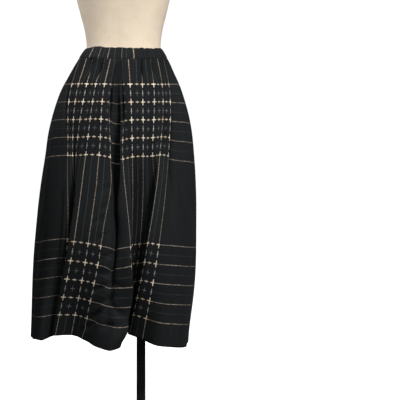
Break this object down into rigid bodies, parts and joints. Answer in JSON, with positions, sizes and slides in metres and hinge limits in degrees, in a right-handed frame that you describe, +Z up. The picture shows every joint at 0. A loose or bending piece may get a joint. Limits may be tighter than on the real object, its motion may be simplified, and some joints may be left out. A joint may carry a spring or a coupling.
{
  "type": "pleated skirt on a dress form",
  "caption": "Black midi skirt with a gathered elastic waist and a woven check with crosses, on a limbless linen dress form with a pole and a round base.",
  "frame": {"origin": "centre of the round base's underside, on the pole's axis", "axes": "+Z up along the pole, -Y towards the front of the skirt, +X towards the wearer's left"},
  "size_m": [0.5023, 0.4976, 1.6804],
  "materials": {
    "skirt_cloth": "matte",
    "waistband_cloth": "matte",
    "linen": "matte",
    "dark_wood": "satin",
    "black_metal": "satin"
  },
  "bodies": {
    "root": {"front_panel": "skirt_cloth", "back_panel": "skirt_cloth", "waistband": "waistband_cloth", "form_torso": "linen", "neck_cap": "dark_wood", "pole_socket": "black_metal", "pole": "black_metal", "base": "black_metal"}
  },
  "joints": []
}
